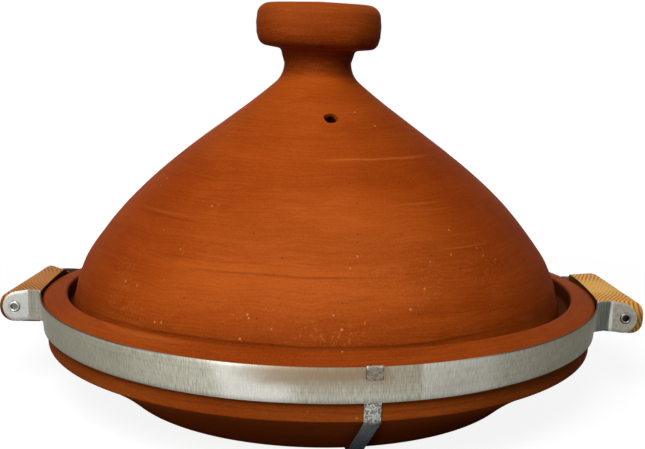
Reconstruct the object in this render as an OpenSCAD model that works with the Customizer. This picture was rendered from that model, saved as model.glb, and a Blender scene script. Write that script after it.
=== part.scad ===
// Clay cooking dish with a tall conical lid, carried in a steel band with two wooden grips.
// Lengths are in millimetres and angles in degrees. Z is up, the grips lie along X and the
// front faces -Y. The origin is under the middle of the dish, on the surface it stands on.

/* [Dish] */
// Outer radius of the upright wall
dish_r = 183.3; // [170:0.1:200]
// Radius of the flat foot
foot_r = 131; // [110:1:145]
// Height of the wall's lower edge above the foot
lip_h = 35.5; // [30:0.5:48]
// Height of the upright wall
wall_h = 31.5; // [26:0.5:40]
// Width of the rim's top
rim_w = 16; // [12:0.5:22]
// How much higher the rim's inner edge is than its outer edge
rim_rise = 3; // [0:0.5:6]
// Bulge of the rim's top
rim_crown = 0.8; // [0:0.1:1.5]
// Depth of the lid's ledge below the rim's inner edge
ledge_drop = 15; // [10:0.5:20]
// Width of the lid's ledge
ledge_w = 11; // [9:0.5:16]
// Thickness of the floor
floor_t = 10.5; // [8:0.5:16]
// Radius of the flat floor inside
floor_r = 122; // [100:1:130]
// Outward bow of the inside wall between floor and ledge
bowl_bow = 4; // [0:0.5:6]
// Upward bow of the underside between foot and wall
underside_bow = 2.5; // [0:0.5:4]

/* [Lid] */
// Play between the lid's foot and the wall around the ledge
lid_play = 2.5; // [2:0.5:6]
// Wall thickness
lid_wall = 8.5; // [7:0.5:12]
// How far the dome's foot leans inward over the height below
dome_lean = 20; // [8:1:24]
// Height over which the dome's foot keeps that lean
dome_swell = 74; // [60:1:90]
// Length over which the dome runs straight up to the neck
cone_l = 56; // [40:1:65]
// Lean of the dome below the neck, from upright
cone_angle = 49; // [44:0.5:54]
// Height of the narrowest place above the lid's foot
neck_h = 159; // [145:1:175]
// Radius of the narrowest place
neck_r = 22; // [18:0.5:27]
// Radius of the hollow curve that joins dome and neck
neck_round = 17; // [12:0.5:24]
// Height from the narrowest place to the knob's underside
neck_l = 7; // [4:0.5:12]
// Flare of the neck below the knob
neck_flare = 1.5; // [0.5:0.1:3]
// Largest radius of the knob
knob_r = 41; // [36:0.5:48]
// Height of the knob
knob_h = 32.5; // [26:0.5:42]
// Rise of the knob's underside from neck to edge
knob_under = 5.5; // [2:0.5:9]
// How far the knob's side draws in above and below its middle
knob_barrel = 1.5; // [0.5:0.1:3]
// Rise of the knob's top from edge to middle
knob_dome = 2; // [0.5:0.5:4]
// Diameter of the steam vent
vent_d = 8.5; // [4:0.5:10]
// Height of the vent above the lid's foot
vent_h = 127; // [90:1:140]
// Turn of the vent from the front, towards +X
vent_turn = 6; // [-90:1:90]

/* [Carrying band] */
// Width of the steel strip
strip_w = 20; // [16:0.5:24]
// Thickness of the steel strip
strip_t = 0.8; // [0.6:0.1:1.5]
// Depth of the band's top edge below the rim's outer edge
band_drop = 1; // [0.5:0.5:4]
// Radius of the bend where the band turns out to a grip
bend_r = 8; // [5:0.5:12]

/* [Grips] */
// Length between the two plates
grip_l = 80; // [60:1:100]
// Reach of a grip's front end beyond the band
grip_out = 23.5; // [22:0.5:36]
// How much less far a grip's rear end reaches
grip_taper = 6; // [0:0.5:8]
// Gap between the clay wall and a grip
grip_gap = 3.7; // [2:0.1:6]
// How far a plate's round end stays inside the grip's round edge
plate_in = 2; // [0:0.5:5]

/* [Rivets] */
// Distance from a plate's end to its rivet's middle
rivet_in = 7.5; // [7:0.5:10]
// Diameter of a hollow rivet's shank
rivet_d = 5; // [4:0.1:6]
// Length of a shank below its head
rivet_l = 12; // [8:0.5:16]
// Diameter of a head
rivet_head_d = 7.4; // [6.6:0.1:9]
// Height of a head
rivet_head_h = 1.1; // [0.8:0.1:2]
// Height of a head's rim
rivet_edge_h = 0.4; // [0.2:0.1:0.7]
// Diameter of the hollow
rivet_hole_d = 3.8; // [2:0.1:3.9]
// Depth of the hollow below the head's top
rivet_hole_l = 7; // [1:0.5:8]

/* [Base strap] */
// Width of the strap
strap_w = 9.2; // [6:0.1:16]
// Thickness of the strap
strap_t = 0.7; // [0.5:0.1:1.2]
// Turn of the strap from the front, towards +X
strap_turn = 9.4; // [-60:0.1:60]
// Height of the tab folded over the band
tab_h = 7; // [4:0.5:14]
// Distance from the foot's edge to where the strap turns up
strap_out = 5; // [3:0.5:10]

/* [Edges] */
// Rounding of the foot's edge
foot_round = 3; // [2:0.5:12]
// Rounding of the wall's lower edge
lip_round = 1.2; // [0.4:0.1:2]
// Rounding of the rim's outer edge
rim_out_round = 2.5; // [1:0.1:4]
// Rounding of the rim's inner edge
rim_in_round = 2; // [0.5:0.1:3]
// Rounding of the ledge's edges
ledge_round = 1.5; // [0.5:0.1:2.5]
// Rounding where the floor meets the inside wall
bowl_round = 9; // [3:0.5:12]
// Rounding of the lid's foot
lid_foot_round = 2; // [0.5:0.1:3]
// Rounding of the hollow under the neck
crown_round = 10; // [4:0.5:14]
// Rounding where neck and knob meet
knob_root_round = 2.5; // [1:0.1:4]
// Rounding of the knob's lower edge
knob_low_round = 5; // [2:0.5:6]
// Rounding of the knob's upper edge
knob_top_round = 8; // [3:0.5:9]

/* [Clearances] */
// Gap between the lid's foot and the ledge
seat_gap = 0.1; // [0.05:0.05:0.5]
// Gap on each side of the strap
strap_gap = 0.1; // [0.05:0.05:0.3]
// Gap around a rivet's shank
rivet_gap = 0.05; // [0.02:0.01:0.2]

/* [Hidden] */
$fn = 180;
// Steps in a rounded corner, a shallow bow, the dome, the neck, half of a band and a band's bend
corner_steps = 6;
bow_steps = 8;
dome_steps = 28;
neck_steps = 8;
band_steps = 32;
bend_steps = 8;
// Length that a cut runs past the solid it cuts
past = 1;

// Heights above the surface that the dish stands on
foot_z = strap_t;
lip_z = foot_z + lip_h;
rim_out_z = lip_z + wall_h;
rim_in_z = rim_out_z + rim_rise;
ledge_z = rim_in_z - ledge_drop;
lid_z = ledge_z + seat_gap;
band_top_z = rim_out_z - band_drop;
band_z = band_top_z - strip_w;
strip_mid_z = band_z + strip_w / 2;

// Radii
ledge_r = dish_r - rim_w;
lid_r = ledge_r - lid_play;
band_in_r = norm([dish_r + strap_gap + strap_t, strap_w / 2]) + strap_gap;
band_mid_r = band_in_r + strip_t / 2;
band_r = band_in_r + strip_t;
grip_in_r = dish_r + grip_gap;

// Plan of the bend between band and plate, front right
plate_y = grip_l / 2 + strip_t / 2;
bend_y = plate_y + bend_r;
bend_centre = [sqrt(pow(band_mid_r + bend_r, 2) - bend_y * bend_y), -bend_y];

// Ends of the plates and places of their rivets, at the front and the rear
front = 0;
rear = 1;
plate_end_x = [for (less = [0, grip_taper]) band_r + grip_out - less - plate_in];
rivet_x = [for (x = plate_end_x) max(x - rivet_in, bend_centre.x + rivet_head_d / 2 + past / 4)];

// Unit vector square to v, on its left
function left_of(v) = [-v.y, v.x] / norm(v);

// Points between a and b on a shallow bow to the left of the way from a to b
function bowed(a, b, bow) = [
    for (i = [1 : bow_steps - 1])
        let (t = i / bow_steps)
        a + (b - a) * t + left_of(b - a) * bow * 4 * t * (1 - t)
];

// The corner at b between a and c, as an arc
function corner(a, b, c, radius) =
    let (
        u = (a - b) / norm(a - b),
        v = (c - b) / norm(c - b),
        half = acos(u * v) / 2,
        centre = b + (u + v) / norm(u + v) * radius / sin(half),
        first = b + u * radius / tan(half) - centre,
        last = b + v * radius / tan(half) - centre,
        start = atan2(first.y, first.x),
        sweep = (atan2(last.y, last.x) - start + 540) % 360 - 180
    )
    [
        for (i = [0 : corner_steps])
            let (turn = start + sweep * i / corner_steps)
            centre + radius * [cos(turn), sin(turn)]
    ];

// An outline whose marks are [x, y] for a plain point or [x, y, radius] for a rounded corner
function outline(marks) =
    let (at = [for (m = marks) [m.x, m.y]])
    [
        for (i = [0 : len(marks) - 1])
            each len(marks[i]) == 2 ? [at[i]] : corner(at[i - 1], at[i], at[i + 1], marks[i].z)
    ];

// The path moved to its left
function shifted(path, by) =
    let (last = len(path) - 1)
    [
        for (i = [0 : last])
            let (
                before = left_of(path[max(i, 1)] - path[max(i, 1) - 1]),
                after = left_of(path[min(i + 1, last)] - path[min(i, last - 1)])
            )
            path[i] + by * (before + after) / (1 + before * after)
    ];

function reversed(path) = [for (i = [len(path) - 1 : -1 : 0]) path[i]];

// A point of the curve with four control points
function on_curve(p, t) =
    pow(1 - t, 3) * p[0] + 3 * pow(1 - t, 2) * t * p[1] + 3 * (1 - t) * t * t * p[2] + pow(t, 3) * p[3];

// Outline of the dish, from the middle of its foot round to the middle of its floor
foot_edge = [foot_r, foot_z];
lip_edge = [dish_r, lip_z];
rim_out_edge = [dish_r, rim_out_z];
rim_in_edge = [ledge_r, rim_in_z];
ledge_edge = [ledge_r - ledge_w, ledge_z];
floor_edge = [floor_r, foot_z + floor_t];
dish_outline = outline(concat(
    [[0, foot_z], [foot_edge.x, foot_edge.y, foot_round]],
    bowed(foot_edge, lip_edge, underside_bow),
    [[lip_edge.x, lip_edge.y, lip_round], [rim_out_edge.x, rim_out_edge.y, rim_out_round]],
    bowed(rim_out_edge, rim_in_edge, -rim_crown),
    [
        [rim_in_edge.x, rim_in_edge.y, rim_in_round],
        [ledge_r, ledge_z, ledge_round],
        [ledge_edge.x, ledge_edge.y, ledge_round]
    ],
    bowed(ledge_edge, floor_edge, bowl_bow),
    [[floor_edge.x, floor_edge.y, bowl_round], [0, floor_edge.y]]
));

// Outline of the lid, from its outer foot up to the knob and back down inside
cone_end = [neck_r + neck_round * (1 - cos(cone_angle)), lid_z + neck_h - neck_round * sin(cone_angle)];
dome_marks = [
    [lid_r, lid_z],
    [lid_r - dome_lean, lid_z + dome_swell],
    cone_end + cone_l * [sin(cone_angle), -cos(cone_angle)],
    cone_end
];
dome = [for (i = [0 : dome_steps]) on_curve(dome_marks, i / dome_steps)];
dome_inside = shifted(dome, lid_wall);
neck = [
    for (i = [1 : neck_steps])
        let (turn = cone_angle * (1 - i / neck_steps))
        [neck_r + neck_round * (1 - cos(turn)), lid_z + neck_h - neck_round * sin(turn)]
];
knob_z = lid_z + neck_h + neck_l;
knob_top_z = knob_z + knob_h;
knob_side_r = knob_r - knob_barrel;
knob_marks = [
    [neck_r + neck_flare, knob_z, knob_root_round],
    [knob_side_r, knob_z + knob_under, knob_low_round],
    [knob_r, knob_z + knob_under + (knob_h - knob_under) / 2],
    [knob_side_r, knob_top_z - knob_dome, knob_top_round],
    [0, knob_top_z]
];
lid_outline = outline(concat(
    [[dome[0].x - lid_wall / 2, lid_z], [dome[0].x, lid_z, lid_foot_round]],
    [for (i = [1 : dome_steps]) dome[i]],
    neck,
    knob_marks,
    [[0, dome_inside[dome_steps].y], [dome_inside[dome_steps].x, dome_inside[dome_steps].y, crown_round]],
    [for (i = [dome_steps - 1 : -1 : 1]) dome_inside[i]],
    [[lid_r - lid_wall, lid_z, lid_foot_round], [dome[0].x - lid_wall / 2, lid_z]]
));

// Place and lean of the steam vent on the dome
dome_heights = [for (p = dome) [p.y, p.x]];
vent_z = lid_z + vent_h;
vent_r = lookup(vent_z, dome_heights);
vent_lean = atan2(lookup(vent_z - lid_wall, dome_heights) - vent_r, lid_wall);

// Middle line of a band in plan, as at the front, from the left plate's end to the right plate's end
bend_start = atan2(bend_centre.x, -bend_centre.y);
bend_turn = atan2(-bend_centre.y, -bend_centre.x);
band_half = concat(
    [
        for (i = [1 : band_steps])
            let (turn = bend_start * i / band_steps)
            band_mid_r * [sin(turn), -cos(turn)]
    ],
    [
        for (i = [1 : bend_steps])
            let (turn = bend_turn + (90 - bend_turn) * i / bend_steps)
            bend_centre + bend_r * [cos(turn), sin(turn)]
    ]
);
function band_line(end) =
    let (half = concat(band_half, [[plate_end_x[end], -plate_y]]))
    concat([for (p = reversed(half)) [-p.x, p.y]], [[0, -band_mid_r]], half);

// Middle line of the base strap, from the front tab under the foot to the rear tab
tab_x = band_r + strap_gap + strap_t / 2;
fold_z = band_top_z + strap_gap + strap_t / 2;
leg_x = dish_r + strap_gap + strap_t / 2;
strap_half = [
    [tab_x, band_top_z - tab_h],
    [tab_x, fold_z],
    [leg_x, fold_z],
    [leg_x, lip_z - strap_gap - strap_t / 2],
    [foot_r + strap_out, strap_t / 2]
];
strap_line = concat(strap_half, [for (p = reversed(strap_half)) [-p.x, p.y]]);

module dish() {
    color("#94481b")
        rotate_extrude()
            polygon(dish_outline);
}

module lid() {
    color("#a8501a")
        difference() {
            rotate_extrude()
                polygon(lid_outline);
            rotate([0, 0, vent_turn])
                translate([0, -vent_r, vent_z])
                    rotate([90 - vent_lean, 0, 0])
                        cylinder(d = vent_d, h = 4 * lid_wall, center = true);
        }
}

// A strip of sheet in plan, along its middle line
module strip(line, thickness) {
    polygon(concat(shifted(line, thickness / 2), reversed(shifted(line, -thickness / 2))));
}

// What the round end leaves off the right plate, as at the front
module plate_end_cut(end) {
    translate([plate_end_x[end] - strip_w / 2, -plate_y + strip_t, strip_mid_z])
        rotate([90, 0, 0])
            linear_extrude(2 * strip_t)
                difference() {
                    translate([0, -strip_w])
                        square([strip_w, 2 * strip_w]);
                    circle(d = strip_w);
                }
}

// Hole for the right rivet, through the plate and into the grip, as at the front
module rivet_hole(end) {
    translate([rivet_x[end], -plate_y - strip_t / 2 - past, strip_mid_z])
        rotate([-90, 0, 0])
            cylinder(d = rivet_d + 2 * rivet_gap, h = past + rivet_l + rivet_gap);
}

// Half of the carrying band with its two plates, as at the front
module half_band(end) {
    color("#aeb0a8")
        difference() {
            translate([0, 0, band_z])
                linear_extrude(strip_w)
                    strip(band_line(end), strip_t);
            for (side = [0, 1])
                mirror([side, 0, 0]) {
                    plate_end_cut(end);
                    rivet_hole(end);
                }
        }
}

module front_band() {
    half_band(front);
}

module rear_band() {
    mirror([0, 1, 0])
        half_band(rear);
}

module base_strap() {
    color("#8e9092")
        rotate([0, 0, strap_turn - 90])
            rotate([90, 0, 0])
                linear_extrude(strap_w, center = true)
                    strip(strap_line, strap_t);
}

module right_grip() {
    middle_x = band_r + grip_out - strip_w / 2 - grip_taper / 2;
    color("#c08a4c")
        difference() {
            translate([middle_x, 0, strip_mid_z])
                rotate([90, 0, atan2(grip_taper, grip_l)])
                    linear_extrude(2 * grip_l, center = true) {
                        translate([-grip_out, -strip_w / 2])
                            square([grip_out, strip_w]);
                        circle(d = strip_w);
                    }
            translate([0, 0, band_z - past])
                cylinder(r = grip_in_r, h = strip_w + 2 * past);
            for (end = [front, rear])
                mirror([0, end, 0]) {
                    translate([0, -grip_l / 2 - 2 * grip_l, band_z - past])
                        cube([2 * band_r, 2 * grip_l, strip_w + 2 * past]);
                    rivet_hole(end);
                }
        }
}

module left_grip() {
    mirror([1, 0, 0])
        right_grip();
}

// The right rivet, as at the front
module rivet(end) {
    edge = [rivet_head_d / 2, rivet_edge_h];
    mouth = [rivet_hole_d / 2, rivet_head_h];
    color("#b9bbbb")
        translate([rivet_x[end], -plate_y - strip_t / 2, strip_mid_z])
            rotate([90, 0, 0])
                rotate_extrude($fn = 48)
                    polygon(concat(
                        [[0, -rivet_l], [rivet_d / 2, -rivet_l], [rivet_d / 2, 0], [rivet_head_d / 2, 0], edge],
                        bowed(edge, mouth, -(rivet_head_h - rivet_edge_h) / 3),
                        [mouth, [mouth.x, rivet_head_h - rivet_hole_l], [0, rivet_head_h - rivet_hole_l]]
                    ));
}

module right_front_rivet() {
    rivet(front);
}

module right_rear_rivet() {
    mirror([0, 1, 0])
        rivet(rear);
}

module left_front_rivet() {
    mirror([1, 0, 0])
        right_front_rivet();
}

module left_rear_rivet() {
    mirror([1, 0, 0])
        right_rear_rivet();
}

dish();
lid();
front_band();
rear_band();
base_strap();
left_grip();
right_grip();
left_front_rivet();
left_rear_rivet();
right_front_rivet();
right_rear_rivet();
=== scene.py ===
"""Looks of a clay cooking dish with a tall conical lid, carried in a steel band with two wooden grips."""
import bisect
import math

import bmesh
import bpy
from mathutils import Matrix, Vector, noise


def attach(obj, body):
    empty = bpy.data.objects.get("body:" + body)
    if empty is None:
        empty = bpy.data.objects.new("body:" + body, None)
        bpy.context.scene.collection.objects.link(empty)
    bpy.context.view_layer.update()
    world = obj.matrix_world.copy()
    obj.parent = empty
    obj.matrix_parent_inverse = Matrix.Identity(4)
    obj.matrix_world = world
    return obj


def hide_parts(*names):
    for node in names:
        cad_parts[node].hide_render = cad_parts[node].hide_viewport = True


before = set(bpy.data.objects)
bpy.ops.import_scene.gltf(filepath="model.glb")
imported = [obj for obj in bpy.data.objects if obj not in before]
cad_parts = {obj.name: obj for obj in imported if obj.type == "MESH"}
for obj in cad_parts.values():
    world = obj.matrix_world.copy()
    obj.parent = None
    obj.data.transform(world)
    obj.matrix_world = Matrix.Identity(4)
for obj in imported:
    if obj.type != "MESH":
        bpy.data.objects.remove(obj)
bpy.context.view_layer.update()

# Lengths here are in millimetres, as in the part's source, and turn into metres through MM.
# Materials, the floor, the lamps and the camera are in metres.
# A name with BY in it holds (place, number) stops for between().
MM = 0.001
MERGE = 0.001 * MM
NEAR = 1
EDGE_ANGLE = 40
LEFT, RIGHT = -1, 1
FRONT, REAR = -1, 1

# Dish
FOOT_Z = 0.7
FOOT_R = 131
LIP_Z = 36.2
WALL_R = 183.3
RIM_OUT_Z = 67.7
RIM_IN_Z = 70.7
LEDGE_R = 167.3
LEDGE_IN_R = 156.3
LEDGE_Z = 55.7
FLOOR_Z = 11.2
FLOOR_R = 122
FOOT_ROUND = 3
LIP_ROUND = 1.2
RIM_OUT_ROUND = 2.5
RIM_IN_ROUND = 2
LEDGE_ROUND = 1.5
FLOOR_ROUND = 9
UNDER_BOW = 2.5
RIM_BOW = -0.8
BOWL_BOW = 4

# The dish as hands left it: a wall that narrows downwards and a rim that sags at its edge, sides and rear.
# A turn is in radians from the front.
WALL_TAPER = 2.9
WALL_TAPER_BY_Z = ((LIP_Z, 1), (RIM_OUT_Z, 0))
OUTSIDE_BY_R = ((160, 0), (181, 1))
EDGE_SAG_BY_R = ((166, 0), (184, 2))
SIDE_SAG_BY_R = ((166, 3.4), (184, 1.6))
SIDE_SAG_BY_TURN = ((0.45, 0), (1.3, 1))
REAR_SAG_BY_TURN = ((1.25, 0), (2.1, 3.4))
REAR_SAG_BY_X = ((-60, 1.1), (60, 0.85))
RIM_SAG_BY_Z = ((57, 0), (66, 1))
LIP_SAG_BY_Z = ((38, 0.8), (46, 0))

# Lid; a mark of the knob is (radius, height) or (radius, height, rounding)
LID_Z = 55.8
LID_R = 164.8
LID_WALL = 8.5
LID_EDGE_ROUND = 2
CROWN_ROUND = 10
DOME = ((LID_R, LID_Z), (144.8, 129.8), (70.11, 165.23), (27.85, 201.97))
NECK_R = 22
NECK_Z = 214.8
NECK_ROUND = 17
CONE_ANGLE = 49
KNOB = (
    (0, 254.3), (38.4, 252.5, 8), (40.3, 246.5), (41, 239.5), (40.5, 232.5), (38.4, 225.2, 6),
    (24.6, 223.4, 2.5))
VENT_TURN = 6
VENT_Z = 182.8
VENT_PLACE = (4.6, -44.2, 179.5)
VENT_BAR = ((0, -18), (4.1, -18), (4.2, -1.5), (4.6, 0.4), (6, 9), (0, 9))
VENT_RAGGED = 0.22

# The lid as hands left it: it leans to the left, its foot is more upright and its knob is tilted
LID_LEAN_BY_Z = ((55.8, -1.9), (120, -2.6), (170, -3.4), (210, -3.4), (255, -2.9))
LID_FOOT_BY_Z = ((56, -2), (64, -1.4), (78, 0.4), (88, 1), (106, 0))
LID_FOOT_R = 160
KNOB_TILT_BY_Z = ((216, 0), (226, 0.036), (254, 0.018))

# Carrying band, grips and rivets
STRIP_W = 20
STRIP_T = 0.8
STRIP_MID_Z = 56.7
STRIP_WAVE = 0.12
STRIP_ROWS = 9
BAND_MID_R = 184.66
BEND_R = 8
CREASE_X = 188
CREASE_ROUND = 1.5
PLATE_Y = 40.4
PLATE_END_X = {FRONT: 206.56, REAR: 200.56}
RIVET_X = {FRONT: 199.06, REAR: 193.06}
RIVET_D = 5
RIVET_L = 12
RIVET_TAIL_ROUND = 0.5
RIVET_GAP = 0.05
RIVET_HEAD = ((3.55, 0.02), (3.7, 0.35), (3.3, 0.95, 0.3), (2.5, 1.15, 0.3), (1.95, 0.6, 0.3))
RIVET_HOLLOW_R = 1.8
RIVET_HOLLOW_Z = {LEFT: -0.6, RIGHT: -5.9}
HOLE_L = 26
GRIP_L = 80
GRIP_IN_R = 184.8
GRIP_START_X = 170
GRIP_IN_EDGE = 2.8
GRIP_IN_STRAIGHT = 0.8
GRIP_OUT_X = {FRONT: 208.56, REAR: 202.56}
GRIP_ROUND = 10
GRIP_CORNER = 9.9
GRIP_STEPS = 40
WHITTLE_DEPTH = 0.3

# Band and grips as hands left them: short left plates, drooping front plates, a sunk rear band, worn grips.
# A share goes from the front of a grip, 0, to its rear, 1.
LEFT_SHORT = {FRONT: 1.8, REAR: 1.2}
BAND_TAPER = 1.8
BAND_TAPER_BY_X = ((177, 1), (184, 0))
REAR_SUNK = 6.2
REAR_SUNK_BY_Y = ((40, 3.2), (56, REAR_SUNK))
PLATE_RISE_BY_X = {
    LEFT: ((172, 0), (180, 2.3), (198, 0.2), (206, 0)),
    RIGHT: ((172, 0), (180, 0.7), (207, -1.9))}
GRIP_DROOP_BY_SHARE = ((0, 1), (0.6, 0))
WORN_BY_SHARE = ((0.8, 0), (1, 1))
WORN_BY_X = ((179, 1.1), (197, 0))

# Base strap, from the end of its front tab to its run under the foot.
# A mark is (distance from the axis, height) or (distance from the axis, height, rounding).
STRAP_W = 9.2
STRAP_T = 0.7
STRAP_TURN = 9.1
STRAP_WAVE = 0.05
STRAP_STEPS = 420
STRAP_HALF = (
    (185.51, 59.7), (185.51, 67.15, 0.75), (183.75, 67.15, 0.75), (180.9, 35, 2.5), (136, 0.35, 8))

# Patterns for uneven(): waves for each unit of a place along x, y and z, and where the pattern starts.
# The y of WHITTLED is a grip's side, so that the two grips differ.
FINE_RINGS = ((0.012, 0.012, 0.55), (0, 0, 0))
WIDE_RINGS = ((0.006, 0.006, 0.13), (7, 0, 0))
SWELL = ((0.007, 0.007, 0.011), (0, 3, 0))
DENTS = ((0.03, 0.05, 0), (0, 0, 4))
WHITTLED = ((0.06, 1, 0.05), (0, 0, 0))
RAGGED = ((0.22, 0.22, 0.22), (0, 0, 0))
FINE_SHARE = 0.35
SWELL_FROM_R = 40


# Meshes

def add_piece(name, bm, finish, body, node):
    """A new object that stands for a node, in that node's body and material slot."""
    mesh = bpy.data.meshes.new(name)
    bm.to_mesh(mesh)
    bm.free()
    mesh.materials.append(finish)
    piece = bpy.data.objects.new(name, mesh)
    bpy.context.scene.collection.objects.link(piece)
    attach(piece, body)
    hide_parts(node)
    return piece


def settle(piece, crease, cutters=()):
    """Applies the piece's modifiers, removes its cutters and shades it smooth up to the crease angle."""
    bpy.context.view_layer.update()
    graph = bpy.context.evaluated_depsgraph_get()
    done = bpy.data.meshes.new_from_object(
        piece.evaluated_get(graph), preserve_all_data_layers=True, depsgraph=graph)
    piece.modifiers.clear()
    piece.data = done
    for cutter in cutters:
        bpy.data.objects.remove(cutter)
    done.shade_smooth()
    done.set_sharp_from_angle(angle=math.radians(crease))


def cut_by(piece, bm):
    """A Boolean cut of the piece by a closed mesh, which comes back as an object for settle to remove."""
    mesh = bpy.data.meshes.new(piece.name + "_cut")
    bm.to_mesh(mesh)
    bm.free()
    cutter = bpy.data.objects.new(mesh.name, mesh)
    bpy.context.scene.collection.objects.link(cutter)
    cut = piece.modifiers.new("cut", "BOOLEAN")
    cut.operation = "DIFFERENCE"
    cut.solver = "EXACT"
    cut.object = cutter
    return cutter


def turned(marks, steps, finest):
    """A shape of revolution about Z. A mark is (radius, height), or (radius, height, rounding)."""
    bm = bmesh.new()
    corners = [bm.verts.new((mark[0] * MM, 0, mark[1] * MM)) for mark in marks]
    for start, end in zip(corners, corners[1:]):
        bm.edges.new((start, end))
    for before, vert, after, mark in zip(marks, corners[1:], marks[2:], marks[1:]):
        if len(mark) == 3:
            here = Vector(mark[:2])
            half = (Vector(before[:2]) - here).angle(Vector(after[:2]) - here) / 2
            bmesh.ops.bevel(
                bm, geom=[vert], offset=mark[2] * MM / math.tan(half), offset_type="OFFSET",
                affect="VERTICES", segments=6, profile=0.5, material=-1, clamp_overlap=True)
    for edge in bm.edges[:]:
        cuts = math.ceil(edge.calc_length() / (finest * MM)) - 1
        if cuts > 0:
            bmesh.ops.subdivide_edges(bm, edges=[edge], cuts=cuts)
    bmesh.ops.spin(
        bm, geom=bm.verts[:] + bm.edges[:], cent=(0, 0, 0), axis=(0, 0, 1), angle=2 * math.pi,
        steps=steps, use_merge=True)
    bmesh.ops.remove_doubles(bm, verts=bm.verts[:], dist=MERGE)
    bmesh.ops.recalc_face_normals(bm, faces=bm.faces[:])
    return bm


def between(stops, at):
    """A number that goes smoothly through (place, number) stops."""
    for (a, low), (b, high) in zip(stops, stops[1:]):
        if at <= b:
            t = max(0, (at - a) / (b - a))
            return low + (high - low) * t * t * (3 - 2 * t)
    return stops[-1][1]


def uneven(place, pattern):
    """Smooth noise at a place, from about -1 to 1."""
    waves, starts = pattern
    return noise.noise([start + part * wave for part, wave, start in zip(place, waves, starts)])


def throw_by_hand(bm, rings, slow, lean=((0, 0), (1, 0))):
    """Moves a turned shape off its true round: soft rings on the wall, slow swells and a lean by height."""
    bm.normal_update()
    moves = []
    for vert in bm.verts:
        place = vert.co / MM
        off = rings * (FINE_SHARE * uneven(place, FINE_RINGS) + uneven(place, WIDE_RINGS))
        off += slow * uneven(place, SWELL) * min(1, place.xy.length / SWELL_FROM_R)
        moves.append(vert.normal * off + Vector((between(lean, place.z), 0, 0)))
    for vert, move in zip(bm.verts, moves):
        vert.co += move * MM


class Path:
    """A line of points with places along it measured by length."""

    def __init__(self, points):
        self.points = [Vector(p) for p in points]
        self.marks = [0.0]
        for a, b in zip(self.points, self.points[1:]):
            self.marks.append(self.marks[-1] + (b - a).length)
        self.length = self.marks[-1]

    def at(self, length):
        """The point at a place."""
        i = min(max(bisect.bisect_left(self.marks, length) - 1, 0), len(self.points) - 2)
        share = (length - self.marks[i]) / (self.marks[i + 1] - self.marks[i])
        return self.points[i].lerp(self.points[i + 1], share)

    def way(self, length, step=0.4):
        """The direction of the line at a place."""
        return (self.at(min(length + step, self.length)) - self.at(max(length - step, 0))).normalized()


def rounded(marks, steps=6):
    """A flat line whose marks (x, y, radius) become arcs."""
    line = []
    for i, mark in enumerate(marks):
        here = Vector(mark[:2])
        if len(mark) == 2:
            line.append(here)
            continue
        to_last = (Vector(marks[i - 1][:2]) - here).normalized()
        to_next = (Vector(marks[i + 1][:2]) - here).normalized()
        half = to_last.angle(to_next) / 2
        centre = here + (to_last + to_next).normalized() * mark[2] / math.sin(half)
        first = here + to_last * mark[2] / math.tan(half) - centre
        last = here + to_next * mark[2] / math.tan(half) - centre
        for k in range(steps + 1):
            line.append(centre + first.slerp(last, k / steps).normalized() * mark[2])
    return line


def strip(rows, places, across, width, end_round=0, wave=0):
    """A sheet from a flat grid, each row along its own path. Its UV map holds metres from its middle."""
    last = len(rows) - 1
    length = rows[last // 2].length
    bm = bmesh.new()
    bmesh.ops.create_grid(bm, x_segments=len(places) - 1, y_segments=last, size=1)
    flat = bm.loops.layers.uv.new("flat")
    laid = {}
    for vert in bm.verts:
        place = places[round((vert.co.x + 1) / 2 * (len(places) - 1))]
        half = width / 2
        to_end = max(0, min(place, length - place))
        if to_end < end_round:
            half *= math.sqrt(max(0, 1 - (1 - to_end / end_round) ** 2))
        laid[vert] = (place, vert.co.y * half, rows[round((vert.co.y + 1) / 2 * last)])
    for face in bm.faces:
        for loop in face.loops:
            place, side, _ = laid[loop.vert]
            loop[flat].uv = ((place - length / 2) * MM, side * MM)
    for vert, (place, side, path) in laid.items():
        own = place * path.length / length
        bump = wave * uneven((place, side, 0), DENTS)
        vert.co = (path.at(own) + across * side + path.way(own).cross(across) * bump) * MM
    bmesh.ops.remove_doubles(bm, verts=bm.verts[:], dist=MERGE)
    bmesh.ops.recalc_face_normals(bm, faces=bm.faces[:])
    return bm


def give_thickness(piece, thickness):
    """Makes a sheet into a strip of that thickness, half on each side."""
    solid = piece.modifiers.new("thickness", "SOLIDIFY")
    solid.thickness = thickness * MM
    solid.offset = 0


def soften_edges(piece, width, segments):
    """Rounds the sharp edges of the piece."""
    soft = piece.modifiers.new("edges", "BEVEL")
    soft.width = width * MM
    soft.segments = segments
    soft.limit_method = "ANGLE"
    soft.angle_limit = math.radians(EDGE_ANGLE)
    soft.profile = 0.5


def rivet_place(side_x, side_y, y):
    """A point on a rivet's axis, at a distance y from the middle. The front rivets follow their plates."""
    x = RIVET_X[side_y] - (LEFT_SHORT[side_y] if side_x == LEFT else 0)
    raised = between(PLATE_RISE_BY_X[side_x], x) if side_y == FRONT else 0
    return Vector((side_x * x, side_y * y, STRIP_MID_Z + raised)) * MM


def rivet_holes(sides):
    """Closed bars through the rivets' places, on the named (x, y) sides."""
    bm = bmesh.new()
    radius = (RIVET_D / 2 + RIVET_GAP) * MM
    lying = Matrix.Rotation(math.pi / 2, 4, "X")
    for side_x, side_y in sides:
        bmesh.ops.create_cone(
            bm, cap_ends=True, segments=32, radius1=radius, radius2=radius, depth=HOLE_L * MM,
            matrix=Matrix.Translation(rivet_place(side_x, side_y, PLATE_Y)) @ lying)
    return bm


# Finishes

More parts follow.
